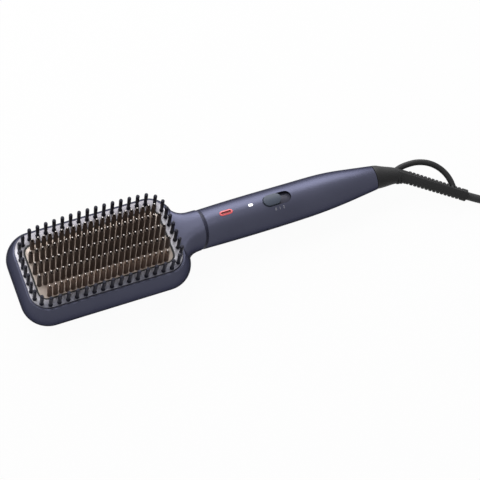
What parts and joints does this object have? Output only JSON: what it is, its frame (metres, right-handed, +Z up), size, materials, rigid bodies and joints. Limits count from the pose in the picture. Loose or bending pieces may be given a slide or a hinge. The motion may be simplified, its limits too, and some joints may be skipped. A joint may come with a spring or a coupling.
{
  "type": "hair straightening brush",
  "caption": "Heated paddle brush for straightening hair: rows of heated pins inside a ring of cool bristles, round handle with slide switch, swivel cord with plug.",
  "frame": {"origin": "centre of the paddle's flat back, on which the brush lies", "axes": "+X from the paddle to the handle and cord, +Z up on the bristle side, +Y across"},
  "size_m": [0.5238, 0.1044, 0.0456],
  "materials": {
    "casing": "metallic lacquer",
    "surround": "satin",
    "bristles": "satin",
    "ceramic_plate": "ceramic coat",
    "caps": "satin",
    "seal": "matt",
    "heater": "matt",
    "mica": "matt",
    "steel": "bare",
    "dark_trim": "satin",
    "inner_plastic": "matt",
    "board": "satin",
    "knob": "satin",
    "lens": "gloss",
    "red_insert": "gloss",
    "brass": "bare",
    "soft_rubber": "matt",
    "cord_jacket": "matt",
    "tie_strap": "matt",
    "plug_plastic": "matt",
    "nickel": "plated"
  },
  "bodies": {
    "brush": {"paddle_body": "casing", "bristle_frame": "surround", "cool_bristles": "bristles", "bristle_retainer": "inner_plastic", "heat_plate": "ceramic_plate", "pin_caps": "caps", "plate_seal": "seal", "ptc_heaters": "heater", "insulation_sheet": "mica", "heater_clamp": "steel", "clamp_screws": "steel", "thermal_fuse": "heater", "neck_ring": "dark_trim", "handle_shell": "casing", "chassis": "inner_plastic", "circuit_board": "board", "slide_switch": "inner_plastic", "led_lamp": "lens", "led_lens": "lens", "ion_module": "inner_plastic", "ion_needle": "brass", "ion_outlet": "red_insert", "swivel_bush": "inner_plastic"},
    "switch_knob": {"slide_knob": "knob"},
    "cord_end": {"swivel_spindle": "inner_plastic", "strain_relief": "soft_rubber", "cord_run": "cord_jacket", "cord_coil": "cord_jacket", "cord_tail": "cord_jacket", "cord_tie": "tie_strap", "plug_body": "plug_plastic", "plug_pins": "nickel"}
  },
  "joints": [
    {"name": "switch_slide", "type": "slide", "parent": "brush", "child": "switch_knob", "axis": [1, 0, 0], "range_m": [0, 0.0077]},
    {"name": "cord_swivel", "type": "hinge", "parent": "brush", "child": "cord_end", "pos_m": [0.2195, 0, 0.015], "axis": [1, 0, 0], "continuous": true}
  ]
}
